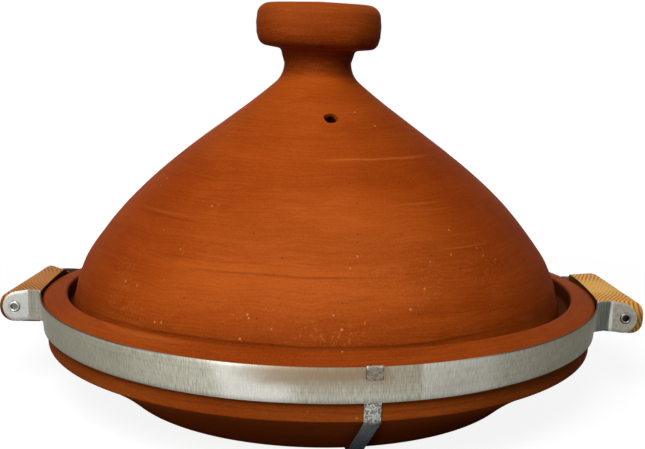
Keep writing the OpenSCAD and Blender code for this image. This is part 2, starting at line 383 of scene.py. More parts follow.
class Value:
    """A value on a surface: arithmetic with it adds Math nodes to its finish."""

    def __init__(self, finish, socket):
        self.finish = finish
        self.socket = socket

    def math(self, operation, *values):
        return self.finish.node("ShaderNodeMath", {"operation": operation}, values)

    def __add__(self, other):
        return self.math("ADD", self, other)

    def __sub__(self, other):
        return self.math("SUBTRACT", self, other)

    def __rsub__(self, other):
        return self.math("SUBTRACT", other, self)

    def __mul__(self, other):
        return self.math("MULTIPLY", self, other)

    def __pow__(self, other):
        return self.math("POWER", self, other)

    __radd__ = __add__
    __rmul__ = __mul__

    def size(self):
        return self.math("ABSOLUTE", self)

    def wave(self):
        return self.math("SINE", self)

    def larger(self, other):
        return self.math("MAXIMUM", self, other)

    def rise(self, low, high):
        """0 below low, 1 above high and smooth between them."""
        return self.finish.node(
            "ShaderNodeMapRange", {"interpolation_type": "SMOOTHSTEP"},
            {"Value": self, "From Min": low, "From Max": high})


class Finish:
    """A node material or world."""

    def __init__(self, name, kind="materials"):
        self.made = getattr(bpy.data, kind).new(name)
        self.made.use_nodes = True
        self.tree = self.made.node_tree

    def node(self, kind, settings=(), sockets=(), output=0):
        """A new node's output: settings are set first, then each socket gets a value or a link."""
        node = self.tree.nodes.new(kind)
        for name, value in dict(settings).items():
            if name == "stops":
                ramp = node.color_ramp.elements
                while len(ramp) < len(value):
                    ramp.new(1)
                for stop, (place, colour) in zip(ramp, value):
                    stop.position = place
                    stop.color = colour
            else:
                setattr(node, name, value)
        for name, value in sockets.items() if isinstance(sockets, dict) else enumerate(sockets):
            self.fill(node.inputs[name], value)
        return Value(self, node.outputs[output])

    def fill(self, socket, value):
        """Links a value to a socket, or sets a constant on it."""
        if isinstance(value, Value):
            self.tree.links.new(value.socket, socket)
        else:
            socket.default_value = value

    def surface(self, **sockets):
        """Fills the sockets of the material's own shader, named with _ for a space."""
        shader = self.tree.nodes["Principled BSDF"]
        for name, value in sockets.items():
            self.fill(shader.inputs[name.replace("_", " ")], value)
        return self.made

    def end_with(self, shader, output):
        """Links a shader to the named output node in place of the one that it came with."""
        self.tree.links.new(shader.socket, self.tree.nodes[output].inputs["Surface"])
        return self.made

    def place(self, source="Object"):
        """Where a point of the surface is: metres from the origin, or on the UV map."""
        return self.node("ShaderNodeTexCoord", output=source)

    def parts(self, vector):
        return [self.node("ShaderNodeSeparateXYZ", sockets=[vector], output=i) for i in range(3)]

    def point(self, x, y, z=0.0):
        return self.node("ShaderNodeCombineXYZ", sockets=[x, y, z])

    def grain(self, vector, scale=1.0, detail=2.0, roughness=0.5):
        return self.node("ShaderNodeTexNoise", sockets={
            "Vector": vector, "Scale": scale, "Detail": detail, "Roughness": roughness})

    def blend(self, amount, low, high):
        """One colour at an amount of 0 and the other at 1."""
        return self.node("ShaderNodeMix", {"data_type": "RGBA"}, {0: amount, 6: low, 7: high}, output=2)

    def coats(self, colour, *coats):
        """Lays coats over a colour, one after another. A coat is (amount, screen colour)."""
        for amount, rgb in coats:
            colour = self.blend(amount, colour, tone(*rgb))
        return colour

    def relief(self, height, depth):
        """A Bump node: height from 0 to 1 is depth millimetres."""
        return self.node("ShaderNodeBump", sockets={
            "Strength": 1.0, "Distance": depth * MM, "Height": height})


def tone(red, green, blue):
    """A colour given as it looks on screen, from 0 to 255."""
    parts = [part / 255 for part in (red, green, blue)]
    return tuple(p / 12.92 if p <= 0.04045 else ((p + 0.055) / 1.055) ** 2.4 for p in parts) + (1.0,)


def fired_clay(name, tones, ring_lines, vent_shade=None, front_sheen=0, recess_shade=0):
    """Unglazed clay: a tone that goes by height, with streaks, fine lines, blotches, grit, specks and pits.

    Tones are (height, screen colour). A line round the clay is (height, thickness, start, end, strength,
    screen colour), with start and end as turns in radians from the front: a wheel mark, or a painted shadow
    line. Those heights are in millimetres. The vent's place, also in millimetres, is dark for 5 mm around, a
    painted shade in the vent. The front can be made paler, from 0 to 1, a painted sheen, and the recess that
    the lid stands in darker, from 0 to 1, a painted shade."""
    clay = Finish(name)
    at = clay.place()
    x, y, z = clay.parts(at)
    out = (x * x + y * y) ** 0.5
    turn = clay.node("ShaderNodeMath", {"operation": "ARCTAN2"}, [x, y * -1])
    drift = clay.grain(at, 14.0) - 0.5
    sway = (clay.grain(at, 26.0) - 0.5) * 0.008
    streaks = clay.grain(clay.point(x * 9, y * 9, (z + sway) * 75 + out * 20), 1.0, 4.0, 0.6)
    along_lines = clay.point((out - sway) * 800 + x * 40, (z + sway) * 800 + y * 40, x * 30)
    lines = clay.grain(along_lines, 1.0, 3.0, 0.65)
    blotches = clay.grain(at, 11.0, 4.0, 0.6)
    grit = clay.grain(at, 1100.0)
    clusters = clay.grain(at, 18.0)
    crust = clay.grain(at, 520.0)

    # The tone by height, and a paler front, a painted sheen, that is palest on the lid's lower part and ends
    # under its neck
    top = 260
    stops = [(height / top, tone(*rgb)) for height, rgb in tones]
    colour = clay.node("ShaderNodeValToRGB", {"stops": stops}, [z * (1 / (top * MM)) + drift * 0.1])
    front = 1 - (turn + 0.05 + drift * 0.3).size().rise(0.1, 0.95)
    palest = z.rise(0.075, 0.1) * (0.155 - z).rise(0, 0.04)
    under_neck = (0.204 - z).rise(0, 0.016)
    sheen_amount = front * front_sheen * (0.35 + palest * 0.6) * under_neck
    colour = clay.coats(
        colour,
        (sheen_amount, (182, 85, 26)),
        ((0.6 - streaks).rise(0, 0.22) * 0.32, (128, 44, 2)),
        (lines.rise(0.42, 0.72) * blotches.rise(0.3, 0.6) * 0.22, (196, 100, 36)),
        ((0.55 - lines).rise(0, 0.22) * 0.14, (120, 40, 2)),
        (blotches.rise(0.48, 0.72) * 0.22, (192, 94, 32)),
        ((0.5 - blotches).rise(0, 0.25) * 0.2, (124, 44, 3)),
        (grit.rise(0.5, 0.72) * 0.16, (204, 108, 46)),
        ((0.5 - grit).rise(0, 0.22) * 0.18, (108, 36, 2)))
    fade = 0.25
    for height, thick, start, end, strength, rgb in ring_lines:
        level = z + drift * 0.004 - height * MM
        line = 1 - level.size().rise(thick * 0.2 * MM, thick * MM)
        span = turn.rise(start, start + fade) * (end - turn).rise(0, fade)
        colour = clay.coats(colour, (line * span * strength, rgb))

    # Specks and rough crust lie in clusters, more of them low on the lid and most on a patch in front.
    # Pits are strewn evenly.
    cells = {"Vector": at, "Scale": 240.0}
    near = clay.node("ShaderNodeTexVoronoi", {"feature": "F1"}, cells, output="Distance")
    pick, _, _ = clay.parts(clay.node("ShaderNodeTexVoronoi", {"feature": "F1"}, cells, output="Color"))
    low = z.rise(0.068, 0.074) * (0.14 - z).rise(0, 0.06)
    crusted = turn.rise(-0.38, -0.28) * (0.2 - turn).rise(0, 0.08) * z.rise(0.069, 0.072)
    crusted = crusted * (0.09 - z - turn * 0.03).rise(0, 0.014)
    picked = (clusters * 0.7 + pick * 0.5 + low * 0.05 + crusted * 0.13).rise(0.88, 0.91)
    specks = (0.17 - near + grit * 0.12).rise(0, 0.08) * picked
    pits = (0.16 - near).rise(0, 0.08) * (0.1 - pick).rise(0, 0.03)
    scattered = clusters.rise(0.54, 0.64) * low * 0.4
    rough = crust.rise(0.54, 0.66) * scattered.larger(crusted * blotches.rise(0.42, 0.55))
    # The recess that the lid stands in is darkened: painted shade.
    recess = (0.1688 - out).rise(0, 0.0015) * z.rise(0.052, 0.056)
    colour = clay.coats(
        colour,
        (specks * 0.6 + rough * 0.36, (224, 138, 78)),
        (pits * 0.6, (74, 26, 4)),
        (recess * recess_shade, (48, 16, 4)))
    # Painted shade in the vent: dark for about 5 mm around its place in the channel.
    if vent_shade:
        centre = tuple(part * MM for part in vent_shade)
        off = clay.node("ShaderNodeVectorMath", {"operation": "DISTANCE"}, [at, centre], output=1)
        colour = clay.coats(colour, ((0.0053 - off).rise(0, 0.0012) * 0.93, (34, 8, 2)))
    height = lines * 0.5 + grit * 0.3 + streaks * 0.6 + specks * 0.6 + rough * 0.4 - pits * 1.6
    return clay.surface(
        Base_Color=colour, Roughness=0.56 + grit * 0.1 + lines * 0.08,
        Specular_IOR_Level=0.025, Normal=clay.relief(height, 0.06))


def brushed_strip(name):
    """Thin galvanised strip with fine lines across its width, long drawn lines, a scuff, a painted glint and
    a painted brown reflection.

    The UV map runs from the strip's middle, so its bends, crease and plates lie at known places along it.
    The plates are mottled with dirt. The ends are darker and the right bend dark, painted shade; the left
    bend has painted highlight streaks and the crease a painted highlight; the edges and the inner face above
    the clay are darkened, painted shade that isn't metal."""
    steel = Finish(name)
    along, across, _ = steel.parts(steel.place("UV"))
    x, y, z = steel.parts(steel.place())
    out = (x * x + y * y) ** 0.5
    from_mid = along.size()
    right = along.rise(-0.1, 0.1)
    brush = steel.grain(steel.point(along * 1700 + across * 60, across * 170), 1.0, 4.0, 0.75)
    cloud = steel.grain(steel.point(along * 20, across * 60), 1.0, 3.0)
    drawn = steel.grain(steel.point(along * 7, across * 620, 5.0))
    mottle = steel.grain(steel.point(along * 320, across * 320, 3.0), 1.0, 3.0, 0.7)
    streaked = steel.grain(steel.point(along * 900, across * 20, 9.0))

    # Zones along the strip
    bend_from, bend_to, plate_from, plate_to, crease_at = 0.2425, 0.254, 0.2545, 0.256, 0.2546
    bend = (from_mid - bend_from).rise(0, 0.001) * (bend_to - from_mid).rise(0, 0.001)
    plate = from_mid.rise(plate_from, plate_to)
    crease = 1 - (along - crease_at).size().rise(0.0005, 0.0015)
    # Painted shade: the strip is darker towards its ends, less so on the plates.
    dimmer = (from_mid + cloud * 0.1).rise(0.08, 0.25) * (1 - from_mid.rise(0.2, 0.235) * 0.6)
    # A painted brown reflection on the upper part of the band, left of the tab.
    patch = (along + 0.042 + cloud * 0.02).rise(0, 0.035) * (0.0545 - along).rise(0, 0.002)
    patch = patch * (1 - along.rise(0.032, 0.042) * 0.5)
    brown_reflection = patch * (across + cloud * 0.01).rise(0, 0.009)
    # A painted glint left of the middle, and a lighter scuff right of the tab.
    painted_glint = (along + 0.051 + cloud * 0.02).rise(0, 0.014)
    painted_glint = painted_glint * (0.004 - along - cloud * 0.02).rise(0, 0.014)
    right_scuff = along.rise(0.054, 0.0555) * (0.11 - along).rise(0, 0.02)
    glint_and_scuff = painted_glint * 0.7 + right_scuff * 0.35

    # Painted shade along the edges, and on the inner face where it stands above the clay
    off_middle = from_mid.rise(0.06, 0.12) * (bend_from - from_mid).rise(0, 0.004)
    edge = across.size().rise(0.0094, 0.0098) * off_middle
    inside = (0.18452 - out).rise(0, 0.0001)
    above_clay = (z + y.rise(0.04, 0.056) * (REAR_SUNK * MM)).rise(0.0622, 0.0627)
    dirt_and_shade = edge.larger(inside * above_clay) * 0.9

    colour = steel.blend(brush.rise(0.3, 0.7), tone(163, 160, 144), tone(217, 214, 198))
    colour = steel.coats(
        colour,
        ((0.5 - drawn).rise(0, 0.2) * 0.2, (138, 138, 128)),
        (cloud.rise(0.55, 0.75) * 0.3, (152, 151, 138)),
        (dimmer * 0.52, (124, 112, 76)),
        (glint_and_scuff * (0.5 + brush * 0.5), (246, 245, 238)))
    plate_tone = steel.blend(right, tone(178, 183, 186), tone(184, 180, 164))
    colour = steel.blend(plate * (0.35 + brush * 0.4), colour, plate_tone)
    # The mottle on the plates is dirt. The dark right bend is painted shade, the light streaks on the left
    # bend and the crease are painted highlights.
    colour = steel.coats(
        colour,
        (plate * mottle.rise(0.45, 0.65) * (0.15 + right * 0.2), (110, 104, 88)),
        (brown_reflection * 0.8, (150, 124, 90)),
        (bend * (right * 0.5 + streaked.rise(0.45, 0.6) * 0.2), (58, 76, 82)),
        (bend * (1 - right) * (0.55 - streaked).rise(0, 0.2) * 0.5, (176, 174, 160)),
        (crease * 0.8, (236, 236, 230)),
        (dirt_and_shade, (92, 58, 36)))
    return steel.surface(
        Base_Color=colour, Metallic=1 - dirt_and_shade, Roughness=0.3 + brush * 0.1 + cloud * 0.08,
        Specular_IOR_Level=0.0, Normal=steel.relief(brush + drawn * 0.25, 0.018))


def spangled_zinc(name):
    """Dull zinc: crystal patches under a fine speckle, stained on the tabs, and bluish under the dish, a
    painted shade.
    """
    zinc = Finish(name)
    along, across, _ = zinc.parts(zinc.place("UV"))
    _, _, z = zinc.parts(zinc.place())
    flat = zinc.point(along, across)
    cells = {"Vector": flat, "Scale": 1300.0}
    patch, _, _ = zinc.parts(
        zinc.node("ShaderNodeTexVoronoi", {"voronoi_dimensions": "2D"}, cells, output="Color"))
    speckle = zinc.grain(flat, 2200.0, 2.0, 0.6)
    dirt_and_shade = zinc.grain(flat, 180.0, 3.0)
    bright = (patch * 0.5 + speckle * 0.6).rise(0.25, 0.85)
    colour = zinc.blend(bright, tone(104, 104, 101), tone(224, 224, 215))
    # The tabs are stained. The bluish tint under the dish is painted shade.
    colour = zinc.coats(
        colour,
        (z.rise(0.052, 0.058) * 0.7, (112, 94, 74)),
        (dirt_and_shade.rise(0.5, 0.7) * 0.4, (84, 76, 64)),
        ((0.034 - z).rise(0, 0.004) * 0.6, (150, 164, 184)))
    return zinc.surface(
        Base_Color=colour, Metallic=1.0, Roughness=0.34 + patch * 0.12 + speckle * 0.12,
        Normal=zinc.relief(speckle * 0.6 + patch * 0.4, 0.04))


def sanded_wood(name):
    """Softwood: fibres, pores and growth rings that cross the grip at a slant and show most at its ends.

    The outer side is darkened by hands, and the side next to the dish is darkened below its top edge, a
    painted shade."""
    wood = Finish(name)
    x, y, z = wood.parts(wood.place())
    side = x.size()
    right = x.rise(-0.1, 0.1)
    cross = side * 0.95 - y * 0.4 + y * y * 1.2 + z * 0.25
    along = y * 0.88 + side * 0.47
    drift = wood.grain(wood.point(side * 34, y * 22, z * 34), 1.0, 3.0)
    rings = (cross * 2500 + drift * 20).wave() * 0.5 + 0.5
    ends = (y.size() + drift * 0.024).rise(0.018, 0.038)
    late = (rings ** 1.5) * (0.2 + 0.75 * ends)
    fibre = wood.grain(wood.point(cross * 2200, along * 90, z * 900), 1.0, 3.0, 0.6)
    pores = wood.grain(wood.point(cross * 3800, along * 400, z * 2600), 1.0, 1.0).rise(0.62, 0.75)
    handled = side.rise(0.2, 0.205) * (0.0635 - z).rise(0, 0.009) * (0.9 - right * 0.3)
    to_dish = (x * x + y * y) ** 0.5 + drift * 0.0012
    # Painted shade on the side next to the dish, below its top edge.
    gap_shade = (0.1862 - to_dish).rise(0, 0.0008) * (0.0664 - z).rise(0, 0.0008) * 0.9
    # The right grip gets lighter tones than the left: painted light.
    early_tone = wood.blend(right, tone(200, 128, 54), tone(255, 198, 100))
    late_tone = wood.blend(right, tone(132, 64, 14), tone(190, 102, 20))
    colour = wood.coats(early_tone, (drift.rise(0.35, 0.7) * 0.35, (220, 152, 74)))
    colour = wood.coats(
        wood.blend(late, colour, late_tone),
        (fibre.rise(0.5, 0.8) * 0.3, (172, 108, 50)),
        (pores * 0.3, (120, 70, 30)),
        (handled, (84, 46, 16)),
        (gap_shade, (66, 34, 12)))
    return wood.surface(
        Base_Color=colour, Roughness=0.52 + fibre * 0.16, Specular_IOR_Level=0.1,
        Normal=wood.relief(fibre * 0.7 - pores * 0.5 - late * 0.2, 0.06))


def bright_rivet(name):
    """Aluminium with fine marks and dulled patches, dirty inside its hollow."""
    metal = Finish(name)
    at = metal.place()
    x, y, _ = metal.parts(at)
    marks = metal.grain(at, 1500.0)
    dimmer = metal.grain(at, 320.0)
    clean = metal.blend(x.rise(-0.1, 0.1), tone(196, 196, 194), tone(150, 148, 142))
    colour = metal.coats(
        clean,
        (dimmer.rise(0.35, 0.7), (112, 108, 100)),
        ((0.0414 - y.size()).rise(0, 0.0006) * 0.75, (92, 88, 78)))
    return metal.surface(
        Base_Color=colour, Metallic=1.0, Roughness=0.2 + dimmer * 0.2, Normal=metal.relief(marks, 0.03))


# The lid's tone by height. The dark stops at 210 and 225 mm are painted shade on the neck and under the
# knob.
LID_TONES = (
    (0, (160, 66, 12)), (60, (136, 53, 6)), (95, (158, 64, 10)), (118, (162, 66, 12)),
    (146, (156, 61, 8)), (203, (167, 71, 13)), (210, (118, 45, 6)), (225, (108, 41, 7)),
    (237, (142, 59, 14)), (256, (160, 74, 24)))
LID_MARKS = (
    # The first line is a painted shadow where the lid's foot meets the rim.
    (69.6, 1.1, -0.8, 0.75, 0.4, (84, 28, 2)),
    (125.5, 1.1, -1.15, -0.5, 0.36, (112, 38, 2)),
    (127.5, 1, -1.15, -0.55, 0.2, (200, 110, 50)),
    (103.5, 1, -0.6, 0.3, 0.36, (112, 38, 2)),
    (108.5, 0.7, -0.85, 0, 0.28, (118, 40, 2)),
    (160.5, 0.8, -0.1, 1.05, 0.4, (202, 112, 48)),
    (113, 0.7, 0.45, 0.95, 0.36, (196, 104, 44)),
    (137, 0.7, 0.3, 0.8, 0.36, (196, 104, 44)),
    (133.5, 0.5, 0.4, 0.85, 0.3, (196, 104, 44)),
    (171, 1, -0.6, 0.6, 0.2, (124, 44, 4)))
DISH_TONES = (
    (0, (136, 58, 12)), (34, (152, 66, 16)), (40, (156, 74, 23)), (58, (150, 64, 16)),
    (72, (146, 60, 12)))
DISH_MARKS = (
    (70, 0.8, -1.5, -0.3, 0.3, (196, 104, 44)),
    (41, 0.8, -0.6, 0.9, 0.3, (112, 44, 8)))

lid_clay = fired_clay("lid_clay", LID_TONES, LID_MARKS, vent_shade=VENT_PLACE, front_sheen=1)
dish_clay = fired_clay("dish_clay", DISH_TONES, DISH_MARKS, recess_shade=0.8)
steel_band = brushed_strip("steel_band")
zinc_strap = spangled_zinc("zinc_strap")
grip_wood = sanded_wood("grip_wood")
rivet_metal = bright_rivet("rivet_metal")


# Dish

def bowed(start, end, bow, steps=8):
    """Marks between two points on a shallow bow to the left of the way."""
    a, b = Vector(start), Vector(end)
    left = Vector((a.y - b.y, b.x - a.x)).normalized()
    shares = [i / steps for i in range(1, steps)]
    return [tuple(a.lerp(b, share) + left * bow * 4 * share * (1 - share)) for share in shares]


dish_marks = [
    (0, FOOT_Z), (FOOT_R, FOOT_Z, FOOT_ROUND), *bowed((FOOT_R, FOOT_Z), (WALL_R, LIP_Z), UNDER_BOW),
    (WALL_R, LIP_Z, LIP_ROUND), (WALL_R, RIM_OUT_Z, RIM_OUT_ROUND),
    *bowed((WALL_R, RIM_OUT_Z), (LEDGE_R, RIM_IN_Z), RIM_BOW),
    (LEDGE_R, RIM_IN_Z, RIM_IN_ROUND), (LEDGE_R, LEDGE_Z, LEDGE_ROUND), (LEDGE_IN_R, LEDGE_Z, LEDGE_ROUND),
    *bowed((LEDGE_IN_R, LEDGE_Z), (FLOOR_R, FLOOR_Z), BOWL_BOW),
    (FLOOR_R, FLOOR_Z, FLOOR_ROUND), (0, FLOOR_Z)]
bm = turned(dish_marks, steps=224, finest=2.2)
throw_by_hand(bm, rings=0.03, slow=0.05)
for vert in bm.verts:
    place = vert.co / MM
    radius = place.xy.length
    turn = abs(math.atan2(place.x, -place.y))
    outside = between(OUTSIDE_BY_R, radius)
    sag = between(SIDE_SAG_BY_R, radius) * between(SIDE_SAG_BY_TURN, turn)
    sag += between(EDGE_SAG_BY_R, radius)
    sag += between(REAR_SAG_BY_TURN, turn) * between(REAR_SAG_BY_X, place.x)
    lower = sag * between(RIM_SAG_BY_Z, place.z) + outside * between(LIP_SAG_BY_Z, place.z)
    vert.co.xy *= 1 - WALL_TAPER * outside * between(WALL_TAPER_BY_Z, place.z) / WALL_R
    vert.co.z -= lower * MM
clay_dish = add_piece("clay_dish", bm, dish_clay, "carrier", "dish")
settle(clay_dish, crease=50)


# Lid

def on_dome(t):
    """A point (radius, height) on the lid's outer curve, from its foot at 0 to its neck at 1."""
    a, b, c, d = (Vector(p) for p in DOME)
    return a * (1 - t) ** 3 + b * 3 * t * (1 - t) ** 2 + c * 3 * t * t * (1 - t) + d * t ** 3


def inside_dome(t):
    """The point on the lid's inner curve that faces the outer one."""
    step = 0.01
    way = (on_dome(min(1, t + step)) - on_dome(max(0, t - step))).normalized()
    return on_dome(t) + Vector((-way.y, way.x)) * LID_WALL


outer_steps = 48
inner_steps = 24
neck_steps = 12
vent_steps = 400
neck = []
for i in range(neck_steps):
    turn = math.radians(CONE_ANGLE) * i / neck_steps
    neck.append((NECK_R + NECK_ROUND * (1 - math.cos(turn)), NECK_Z - NECK_ROUND * math.sin(turn)))
crown = inside_dome(1)
lid_marks = [
    *KNOB, *neck, *(tuple(on_dome(1 - i / outer_steps)) for i in range(outer_steps)),
    (LID_R, LID_Z, LID_EDGE_ROUND), (LID_R - LID_WALL, LID_Z, LID_EDGE_ROUND),
    *(tuple(inside_dome(i / inner_steps)) for i in range(1, inner_steps)),
    (crown.x, crown.y, CROWN_ROUND), (0, crown.y)]
bm = turned(lid_marks, steps=232, finest=1.9)
throw_by_hand(bm, rings=0.07, slow=0.35, lean=LID_LEAN_BY_Z)
for vert in bm.verts:
    vert.co.xy *= 1 + between(LID_FOOT_BY_Z, vert.co.z / MM) / LID_FOOT_R
    vert.co.z -= between(KNOB_TILT_BY_Z, vert.co.z / MM) * vert.co.x
clay_lid = add_piece("clay_lid", bm, lid_clay, "lid", "lid")

dome_points = [on_dome(i / vent_steps) for i in range(vent_steps + 1)]
vent_on_dome = min(dome_points, key=lambda p: abs(p.y - VENT_Z))
bm = turned(VENT_BAR, steps=32, finest=3)
for vert in bm.verts:
    vert.co.xy *= 1 + VENT_RAGGED * uneven(vert.co / MM, RAGGED)
bmesh.ops.transform(bm, verts=bm.verts[:], matrix=(
    Matrix.Rotation(math.radians(VENT_TURN), 4, "Z")
    @ Matrix.Translation(Vector((0, -vent_on_dome.x, vent_on_dome.y)) * MM)
    @ Matrix.Rotation(math.radians(90 - CONE_ANGLE), 4, "X")))
settle(clay_lid, crease=50, cutters=[cut_by(clay_lid, bm)])


# Carrying band

bend_y = PLATE_Y + BEND_R
bend_x = math.sqrt((BAND_MID_R + BEND_R) ** 2 - bend_y ** 2)
bend_start = math.atan2(bend_x, bend_y)


def band_points(end, slant, short):
    """Half of a band in plan, as at the front, from its middle: two creases turn it out into the plate."""
    steps = 60
    turns = [bend_start * i / steps for i in range(steps + 1)]
    arc = [(BAND_MID_R * math.sin(turn), -BAND_MID_R * math.cos(turn)) for turn in turns]
    first = (*arc[-1], CREASE_ROUND)
    second = (CREASE_X + slant, -PLATE_Y, CREASE_ROUND)
    return rounded(arc[:-1] + [first, second, (PLATE_END_X[end] - short, -PLATE_Y)])


def band_places(length):
    """Places for the grid's columns: close together round the plates' ends and in the bends."""
    end = STRIP_W / 2
    fine_step, cap_steps, plate_steps, middle_steps = 0.7, 10, 40, 180
    cap = [end * (1 - math.cos(math.pi / 2 * i / cap_steps)) for i in range(cap_steps)]
    plate = [end + fine_step * i for i in range(plate_steps)]
    inner = plate[-1] + fine_step
    middle = [inner + (length - 2 * inner) * i / middle_steps for i in range(middle_steps + 1)]
    return cap + plate + middle + [length - p for p in reversed(cap + plate)]


def band(name, node, end, slant):
    """A band whose right crease, at the front, leans by slant for each millimetre of height.

    It narrows downwards with the dish's wall. The front one's plates droop, and the rear one hangs lower, as
    the rim does there."""
    turn = Matrix.Rotation(0 if end == FRONT else math.pi, 3, "Z")
    shorts = [LEFT_SHORT[end], 0] if end == FRONT else [0, LEFT_SHORT[end]]
    rows = []
    for i in range(STRIP_ROWS):
        lean = slant * STRIP_W * (i / (STRIP_ROWS - 1) - 0.5)
        left = [(-p.x, p.y) for p in band_points(end, 0, shorts[0])]
        right = [(p.x, p.y) for p in band_points(end, lean, shorts[1])]
        rows.append(Path([turn @ Vector((x, y, STRIP_MID_Z)) for x, y in left[:0:-1] + right]))
    places = band_places(rows[STRIP_ROWS // 2].length)
    bm = strip(rows, places, Vector((0, 0, 1)), STRIP_W, end_round=STRIP_W / 2, wave=STRIP_WAVE)
    for vert in bm.verts:
        place = vert.co / MM
        below_top = 0.5 - (place.z - STRIP_MID_Z) / STRIP_W
        taper = BAND_TAPER * between(BAND_TAPER_BY_X, abs(place.x)) * below_top
        vert.co.xy *= 1 - taper / BAND_MID_R
        if end == REAR:
            vert.co.z -= between(REAR_SUNK_BY_Y, place.y) * MM
        else:
            side = RIGHT if place.x > 0 else LEFT
            vert.co.z += between(PLATE_RISE_BY_X[side], abs(place.x)) * MM
    piece = add_piece(name, bm, steel_band, "carrier", node)
    give_thickness(piece, STRIP_T)
    cutter = cut_by(piece, rivet_holes([(LEFT, end), (RIGHT, end)]))
    soften_edges(piece, width=0.16, segments=2)
    settle(piece, crease=40, cutters=[cutter])


band("steel_front_band", "front_band", FRONT, slant=0.2)
band("steel_rear_band", "rear_band", REAR, slant=0)


# Base strap

rear_half = []
for out, height, *rounding in reversed(STRAP_HALF):
    rear_half.append((-out, height - REAR_SUNK if height > LIP_Z else height, *rounding))
strap_turn = math.radians(STRAP_TURN)
outward = Vector((math.sin(strap_turn), -math.cos(strap_turn), 0))
sideways = Vector((math.cos(strap_turn), math.sin(strap_turn), 0))
path = Path([outward * p.x + Vector((0, 0, p.y)) for p in rounded([*STRAP_HALF, *rear_half])])
places = [path.length * i / STRAP_STEPS for i in range(STRAP_STEPS + 1)]
bm = strip([path] * STRIP_ROWS, places, sideways, STRAP_W, wave=STRAP_WAVE)
zinc_base_strap = add_piece("zinc_base_strap", bm, zinc_strap, "carrier", "base_strap")
give_thickness(zinc_base_strap, STRAP_T)
soften_edges(zinc_base_strap, width=0.14, segments=2)
settle(zinc_base_strap, crease=40)


# Grips

def inner_x(y):
    """How far the grips' inner side is from the middle, next to the round dish."""
    return math.sqrt(GRIP_IN_R ** 2 - y ** 2)


def grip_bar():
    """A straight bar with round outer corners and one more line along its inner side, just below the top."""
    low, high = STRIP_MID_Z - STRIP_W / 2, STRIP_MID_Z + STRIP_W / 2
    inner, outer = GRIP_START_X, GRIP_OUT_X[FRONT]
    section = ((inner, low), (outer, low), (outer, high), (inner, high), (inner, high - GRIP_IN_EDGE))
    bm = bmesh.new()
    corners = [bm.verts.new(Vector((x, -GRIP_L / 2, z)) * MM) for x, z in section]
    bm.faces.new(corners)
    bmesh.ops.bevel(
        bm, geom=corners[1:3], offset=GRIP_CORNER * MM, offset_type="OFFSET", affect="VERTICES",
        segments=12, profile=0.5, material=-1, clamp_overlap=True)
    drawn = bmesh.ops.extrude_face_region(bm, geom=bm.faces[:])
    moved = [part for part in drawn["geom"] if isinstance(part, bmesh.types.BMVert)]
    bmesh.ops.translate(bm, verts=moved, vec=(0, GRIP_L * MM, 0))
    long_edges = [e for e in bm.edges if abs(e.verts[0].co.y - e.verts[1].co.y) > NEAR * MM]
    bmesh.ops.subdivide_edges(bm, edges=long_edges, cuts=GRIP_STEPS - 1)
    return bm


def grip(name, node, side, extra, square, worn):
    """A wooden bar with a flat top, a round outer side and an inner side that follows the dish.

    Extra is what it reaches beyond the mean at its front and rear. Square makes it less round in section,
    and worn takes off its top at the rear, next to the dish. The right one droops below with its plate."""
    bm = grip_bar()
    power = 2 + square
    top = STRIP_MID_Z + STRIP_W / 2
    round_x = GRIP_OUT_X[FRONT] - STRIP_W / 2
    front_end = GRIP_OUT_X[FRONT] + extra[0]
    rear_end = GRIP_OUT_X[REAR] + extra[1]
    for vert in bm.verts:
        place = vert.co / MM
        share = place.y / GRIP_L + 0.5
        if place.x < GRIP_START_X + NEAR:
            bow = inner_x(place.y) - inner_x(GRIP_L / 2)
            place.x = inner_x(place.y) - (bow * GRIP_IN_STRAIGHT if place.z > top - NEAR else 0)
        else:
            across = max(0, place.x - round_x) / GRIP_ROUND
            up = (place.z - STRIP_MID_Z) / GRIP_ROUND
            grown = (abs(across) ** power + abs(up) ** power) ** (-1 / power)
            end = (1 - share) * front_end + share * rear_end
            end += WHITTLE_DEPTH * uneven((place.y, side, place.z), WHITTLED)
            place.x = end - GRIP_ROUND + GRIP_ROUND * across * grown
            place.z = STRIP_MID_Z + GRIP_ROUND * up * grown
        if place.z > STRIP_MID_Z:
            place.z -= worn * between(WORN_BY_SHARE, share) * between(WORN_BY_X, place.x)
        if side == RIGHT and place.z < STRIP_MID_Z:
            droop = min(0, between(PLATE_RISE_BY_X[side], place.x))
            place.z += droop * between(GRIP_DROOP_BY_SHARE, share)
        vert.co = place * MM
        vert.co.x *= side
    bmesh.ops.recalc_face_normals(bm, faces=bm.faces[:])
    piece = add_piece(name, bm, grip_wood, "carrier", node)
    cutter = cut_by(piece, rivet_holes([(side, FRONT), (side, REAR)]))
    soften_edges(piece, width=0.9, segments=3)
    settle(piece, crease=40, cutters=[cutter])


grip("wood_left_grip", "left_grip", LEFT, extra=(-1.4, -1.8), square=0.2, worn=5)
grip("wood_right_grip", "right_grip", RIGHT, extra=(2.3, 1.6), square=0.5, worn=1.2)


# Rivets

def rivet(name, node, side_x, side_y):
    """A rivet with a hollow head, set through its plate into the grip."""
    shank = RIVET_D / 2
    hollow_z = RIVET_HOLLOW_Z[side_x]
    bm = turned([
        (0, -RIVET_L), (shank, -RIVET_L, RIVET_TAIL_ROUND), (shank, RIVET_HEAD[0][1]), *RIVET_HEAD,
        (RIVET_HOLLOW_R, hollow_z), (0, hollow_z)], steps=40, finest=0.6)
    bmesh.ops.transform(bm, verts=bm.verts[:], matrix=(
        Matrix.Translation(rivet_place(side_x, side_y, PLATE_Y + STRIP_T / 2))
        @ Matrix.Rotation(-side_y * math.pi / 2, 4, "X")))
    piece = add_piece(name, bm, rivet_metal, "carrier", node)
    settle(piece, crease=50)


